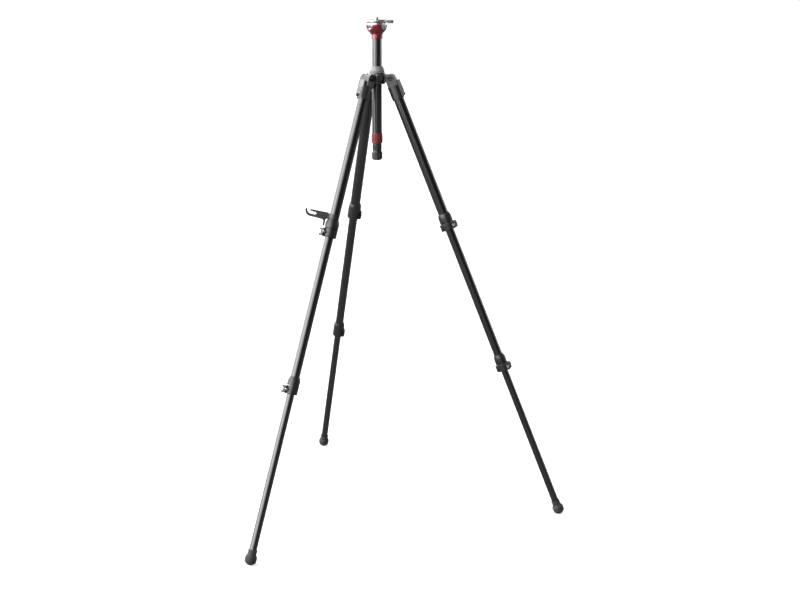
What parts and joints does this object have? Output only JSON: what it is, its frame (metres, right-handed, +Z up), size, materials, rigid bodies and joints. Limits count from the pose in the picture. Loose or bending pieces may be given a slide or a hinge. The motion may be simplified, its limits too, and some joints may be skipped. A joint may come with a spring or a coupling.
{
  "type": "camera tripod",
  "caption": "Camera tripod with telescopic lever-clamped legs, a sliding centre column and a levelling camera plate.",
  "frame": {"origin": "on the floor under the centre column's axis, at the centre of the circle through the three feet", "axes": "+Z up along the centre column; the rear leg points towards +Y, the right leg towards -30 degrees from +X and the left leg towards 210 degrees"},
  "size_m": [0.9676, 0.8424, 1.4335],
  "materials": {
    "black_aluminium": "anodised, semi-gloss",
    "black_casting": "powder coated, fine texture",
    "red_casting": "metallic red lacquer",
    "satin_aluminium": "fine machined",
    "steel": "zinc plated",
    "black_plastic": "moulded, fine grain",
    "grey_plastic": "moulded, satin",
    "red_plastic": "moulded",
    "natural_plastic": "natural acetal",
    "rubber": "matt",
    "vial": "clear acrylic with tinted liquid"
  },
  "bodies": {
    "shoulder": {"shoulder_casting": "black_casting", "collar_ring": "grey_plastic", "leg_pivot_bolts": "steel"},
    "column_liner": {"column_liner": "natural_plastic"},
    "column": {"column_tube": "black_aluminium", "column_end_plug": "black_plastic", "draw_rod": "steel", "levelling_bowl": "red_casting"},
    "ball_seat": {"ball_seat_liner": "natural_plastic"},
    "camera_plate": {"levelling_ball": "satin_aluminium", "plate_pad": "rubber", "camera_screw": "steel", "bubble_level_housing": "grey_plastic", "level_vial": "vial"},
    "levelling_knob": {"levelling_knob": "black_plastic"},
    "safety_ring": {"safety_ring": "red_plastic"},
    "column_lock": {"column_lock_knob": "black_plastic"},
    "left_leg_upper": {"left_knuckle": "black_casting", "left_upper_tube": "black_aluminium", "left_upper_clamp": "black_plastic", "left_upper_clamp_screw": "steel", "accessory_clip": "black_plastic"},
    "left_catch": {"left_angle_catch": "grey_plastic"},
    "left_upper_lever": {"left_upper_lever": "black_plastic"},
    "left_leg_middle": {"left_middle_tube": "black_aluminium", "left_middle_tube_bush": "natural_plastic", "left_lower_clamp": "black_plastic", "left_lower_clamp_screw": "steel"},
    "left_lower_lever": {"left_lower_lever": "black_plastic"},
    "left_leg_lower": {"left_lower_tube": "black_aluminium", "left_lower_tube_bush": "natural_plastic", "left_foot": "rubber"},
    "right_leg_upper": {"right_knuckle": "black_casting", "right_upper_tube": "black_aluminium", "right_upper_clamp": "black_plastic", "right_upper_clamp_screw": "steel"},
    "right_catch": {"right_angle_catch": "grey_plastic"},
    "right_upper_lever": {"right_upper_lever": "black_plastic"},
    "right_leg_middle": {"right_middle_tube": "black_aluminium", "right_middle_tube_bush": "natural_plastic", "right_lower_clamp": "black_plastic", "right_lower_clamp_screw": "steel"},
    "right_lower_lever": {"right_lower_lever": "black_plastic"},
    "right_leg_lower": {"right_lower_tube": "black_aluminium", "right_lower_tube_bush": "natural_plastic", "right_foot": "rubber"},
    "rear_leg_upper": {"rear_knuckle": "black_casting", "rear_upper_tube": "black_aluminium", "rear_upper_clamp": "black_plastic", "rear_upper_clamp_screw": "steel"},
    "rear_catch": {"rear_angle_catch": "grey_plastic"},
    "rear_upper_lever": {"rear_upper_lever": "black_plastic"},
    "rear_leg_middle": {"rear_middle_tube": "black_aluminium", "rear_middle_tube_bush": "natural_plastic", "rear_lower_clamp": "black_plastic", "rear_lower_clamp_screw": "steel"},
    "rear_lower_lever": {"rear_lower_lever": "black_plastic"},
    "rear_leg_lower": {"rear_lower_tube": "black_aluminium", "rear_lower_tube_bush": "natural_plastic", "rear_foot": "rubber"}
  },
  "joints": [
    {"name": "column_turn", "type": "hinge", "parent": "shoulder", "child": "column_liner", "pos_m": [0, 0, 1.26754], "axis": [0, 0, 1], "continuous": true},
    {"name": "column_slide", "type": "slide", "parent": "column_liner", "child": "column", "axis": [0, 0, 1], "range_m": [-0.07, 0.122]},
    {"name": "plate_tilt_side", "type": "hinge", "parent": "column", "child": "ball_seat", "pos_m": [0, 0, 1.415], "axis": [0, 1, 0], "range_deg": [-8, 8]},
    {"name": "plate_tilt_front", "type": "hinge", "parent": "ball_seat", "child": "camera_plate", "pos_m": [0, 0, 1.415], "axis": [1, 0, 0], "range_deg": [-8, 8]},
    {"name": "levelling_knob_turn", "type": "hinge", "parent": "column", "child": "levelling_knob", "pos_m": [0, 0, 1.06], "axis": [0, 0, 1], "range_deg": [0, 180]},
    {"name": "safety_ring_slide", "type": "slide", "parent": "column", "child": "safety_ring", "axis": [0, 0, 1], "range_m": [0, 0.008], "stiffness_N_per_m": 150, "springref_m": -0.002},
    {"name": "column_lock_turn", "type": "hinge", "parent": "shoulder", "child": "column_lock", "pos_m": [-0.00832, -0.03913, 1.27054], "axis": [-0.2079, -0.9781, 0], "range_deg": [0, 180]},
    {"name": "left_leg_spread", "type": "hinge", "parent": "shoulder", "child": "left_leg_upper", "pos_m": [-0.03395, -0.0196, 1.26754], "axis": [-0.5, 0.866, 0], "range_deg": [-21.8, 66.2]},
    {"name": "left_catch_pull", "type": "slide", "parent": "left_leg_upper", "child": "left_catch", "axis": [-0.3216, -0.1857, -0.9285], "range_m": [0, 0.006], "stiffness_N_per_m": 300, "springref_m": -0.003},
    {"name": "left_upper_lever_flip", "type": "hinge", "parent": "left_leg_upper", "child": "left_upper_lever", "pos_m": [-0.20004, -0.09447, 0.86239], "axis": [0.3216, 0.1857, 0.9285], "range_deg": [0, 100]},
    {"name": "left_middle_slide", "type": "slide", "parent": "left_leg_upper", "child": "left_leg_middle", "axis": [0.3216, 0.1857, 0.9285], "range_m": [0, 0.3695]},
    {"name": "left_lower_lever_flip", "type": "hinge", "parent": "left_leg_middle", "child": "left_lower_lever", "pos_m": [-0.33954, -0.17589, 0.45299], "axis": [0.3216, 0.1857, 0.9285], "range_deg": [0, 100]},
    {"name": "left_lower_slide", "type": "slide", "parent": "left_leg_middle", "child": "left_leg_lower", "axis": [0.3216, 0.1857, 0.9285], "range_m": [0, 0.4253]},
    {"name": "right_leg_spread", "type": "hinge", "parent": "shoulder", "child": "right_leg_upper", "pos_m": [0.03395, -0.0196, 1.26754], "axis": [-0.5, -0.866, 0], "range_deg": [-21.8, 66.2]},
    {"name": "right_catch_pull", "type": "slide", "parent": "right_leg_upper", "child": "right_catch", "axis": [0.3216, -0.1857, -0.9285], "range_m": [0, 0.006], "stiffness_N_per_m": 300, "springref_m": -0.003},
    {"name": "right_upper_lever_flip", "type": "hinge", "parent": "right_leg_upper", "child": "right_upper_lever", "pos_m": [0.18184, -0.126, 0.86239], "axis": [-0.3216, 0.1857, 0.9285], "range_deg": [0, 100]},
    {"name": "right_middle_slide", "type": "slide", "parent": "right_leg_upper", "child": "right_leg_middle", "axis": [-0.3216, 0.1857, 0.9285], "range_m": [0, 0.3695]},
    {"name": "right_lower_lever_flip", "type": "hinge", "parent": "right_leg_middle", "child": "right_lower_lever", "pos_m": [0.32209, -0.20611, 0.45299], "axis": [-0.3216, 0.1857, 0.9285], "range_deg": [0, 100]},
    {"name": "right_lower_slide", "type": "slide", "parent": "right_leg_middle", "child": "right_leg_lower", "axis": [-0.3216, 0.1857, 0.9285], "range_m": [0, 0.4253]},
    {"name": "rear_leg_spread", "type": "hinge", "parent": "shoulder", "child": "rear_leg_upper", "pos_m": [0, 0.0392, 1.26754], "axis": [1, 0, 0], "range_deg": [-21.8, 66.2]},
    {"name": "rear_catch_pull", "type": "slide", "parent": "rear_leg_upper", "child": "rear_catch", "axis": [0, 0.3714, -0.9285], "range_m": [0, 0.006], "stiffness_N_per_m": 300, "springref_m": -0.003},
    {"name": "rear_upper_lever_flip", "type": "hinge", "parent": "rear_leg_upper", "child": "rear_upper_lever", "pos_m": [0.0182, 0.22048, 0.86239], "axis": [0, -0.3714, 0.9285], "range_deg": [0, 100]},
    {"name": "rear_middle_slide", "type": "slide", "parent": "rear_leg_upper", "child": "rear_leg_middle", "axis": [0, -0.3714, 0.9285], "range_m": [0, 0.3695]},
    {"name": "rear_lower_lever_flip", "type": "hinge", "parent": "rear_leg_middle", "child": "rear_lower_lever", "pos_m": [0.01745, 0.38199, 0.45299], "axis": [0, -0.3714, 0.9285], "range_deg": [0, 100]},
    {"name": "rear_lower_slide", "type": "slide", "parent": "rear_leg_middle", "child": "rear_leg_lower", "axis": [0, -0.3714, 0.9285], "range_m": [0, 0.4253]}
  ]
}
